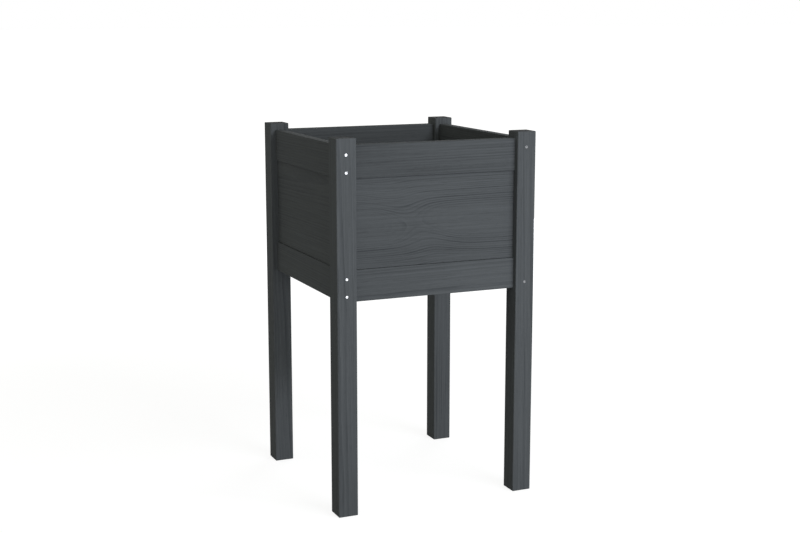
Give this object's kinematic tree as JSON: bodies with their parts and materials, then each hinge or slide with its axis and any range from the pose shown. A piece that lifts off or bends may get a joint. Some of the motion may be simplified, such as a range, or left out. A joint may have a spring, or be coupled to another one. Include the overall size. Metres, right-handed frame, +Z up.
{
  "type": "raised planter on legs",
  "caption": "Square raised planter of grey stained pine: a box of rails and set-back panels between four tall legs, with a slatted floor.",
  "frame": {"origin": "on the ground, under the middle of the box, at the level of the leg bottoms", "axes": "+Z up, +X to the right along the front, +Y from the front towards the back"},
  "size_m": [0.4, 0.4, 0.7],
  "materials": {
    "stained_pine": "dark grey stain, matt, open grain",
    "stained_pine_floor": "dark grey stain, sawn",
    "zinc_plated_steel": "bright zinc plate",
    "beech": "bare"
  },
  "bodies": {
    "root": {"leg_front_left": "stained_pine", "leg_front_right": "stained_pine", "leg_back_right": "stained_pine", "leg_back_left": "stained_pine", "front_top_rail": "stained_pine", "front_panel": "stained_pine", "front_bottom_rail": "stained_pine", "back_top_rail": "stained_pine", "back_panel": "stained_pine", "back_bottom_rail": "stained_pine", "left_top_rail": "stained_pine", "left_panel": "stained_pine", "left_bottom_rail": "stained_pine", "right_top_rail": "stained_pine", "right_panel": "stained_pine", "right_bottom_rail": "stained_pine", "floor_ledger_left": "stained_pine_floor", "floor_ledger_right": "stained_pine_floor", "floor_slat_1": "stained_pine_floor", "floor_slat_2": "stained_pine_floor", "floor_slat_3": "stained_pine_floor", "floor_slat_4": "stained_pine_floor", "floor_slat_5": "stained_pine_floor", "leg_screws": "zinc_plated_steel", "ledger_screws": "zinc_plated_steel", "slat_screws": "zinc_plated_steel", "frame_dowels": "beech"}
  },
  "joints": []
}
